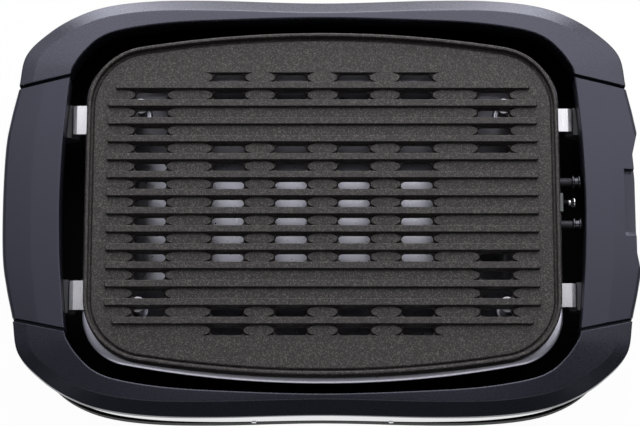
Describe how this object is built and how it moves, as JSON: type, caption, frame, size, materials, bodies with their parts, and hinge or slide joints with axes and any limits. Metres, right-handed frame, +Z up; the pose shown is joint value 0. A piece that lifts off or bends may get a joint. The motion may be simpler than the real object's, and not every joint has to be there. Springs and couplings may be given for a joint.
{
  "type": "indoor electric grill",
  "caption": "Open countertop electric grill: ribbed, slotted cast plate in a bright drip pan, set in a low oval moulded base with two side handles and a plug port.",
  "frame": {"origin": "on the table, under the middle of the grill", "axes": "+X to the right along the length, towards the plug port; +Y to the back; +Z up"},
  "size_m": [0.4784, 0.3254, 0.092],
  "materials": {
    "navy_moulding": "satin, very fine grain, blue-black",
    "gloss_navy_moulding": "semi-gloss, blue-black",
    "black_moulding": "satin black",
    "grey_moulding": "matt dark grey",
    "foot_rubber": "matt black, moulded",
    "bright_trim": "polished, bright",
    "pan_aluminium": "pressed sheet, satin, rolled edge bright",
    "lug_steel": "brushed, bright",
    "screw_zinc": "zinc plated",
    "nonstick_casting": "speckled non-stick coating on a casting, warm dark grey, matt",
    "element_sheath": "dark oxidised sheath"
  },
  "bodies": {
    "base": {"base_shell": "black_moulding", "foot_back_left": "foot_rubber", "foot_back_right": "foot_rubber", "foot_front_left": "foot_rubber", "foot_front_right": "foot_rubber", "front_trim": "bright_trim", "handle_left": "navy_moulding", "handle_right": "navy_moulding", "handle_screw_1": "screw_zinc", "handle_screw_2": "screw_zinc", "handle_screw_3": "screw_zinc", "handle_screw_4": "screw_zinc", "pan_rest_back_left": "grey_moulding", "pan_rest_back_right": "grey_moulding", "pan_rest_front_left": "grey_moulding", "pan_rest_front_right": "grey_moulding", "rim_back": "gloss_navy_moulding", "rim_front": "gloss_navy_moulding", "rim_screw_1": "screw_zinc", "rim_screw_2": "screw_zinc", "rim_screw_3": "screw_zinc", "rim_screw_4": "screw_zinc", "rim_screw_5": "screw_zinc", "rim_screw_6": "screw_zinc"},
    "pan": {"drip_pan": "pan_aluminium", "lug_rivet_1": "screw_zinc", "lug_rivet_2": "screw_zinc", "lug_rivet_3": "screw_zinc", "lug_rivet_4": "screw_zinc", "lug_rivet_5": "screw_zinc", "lug_rivet_6": "screw_zinc", "lug_rivet_7": "screw_zinc", "lug_rivet_8": "screw_zinc", "pan_lug_back_left": "lug_steel", "pan_lug_back_right": "lug_steel", "pan_lug_front_left": "lug_steel", "pan_lug_front_right": "lug_steel"},
    "plate": {"grill_plate": "nonstick_casting", "heating_element": "element_sheath", "plate_leg_back_left": "lug_steel", "plate_leg_back_right": "lug_steel", "plate_leg_front_left": "lug_steel", "plate_leg_front_right": "lug_steel", "probe_block": "screw_zinc", "probe_sleeve": "bright_trim", "terminal_collar_back": "lug_steel", "terminal_collar_front": "lug_steel", "terminal_pin_back": "element_sheath", "terminal_pin_front": "element_sheath"}
  },
  "joints": [
    {"name": "pan_lift", "type": "slide", "parent": "base", "child": "pan", "axis": [0, 0, 1], "range_m": [0, 0.12]},
    {"name": "plate_lift", "type": "slide", "parent": "pan", "child": "plate", "axis": [0, 0, 1], "range_m": [0, 0.12]}
  ]
}
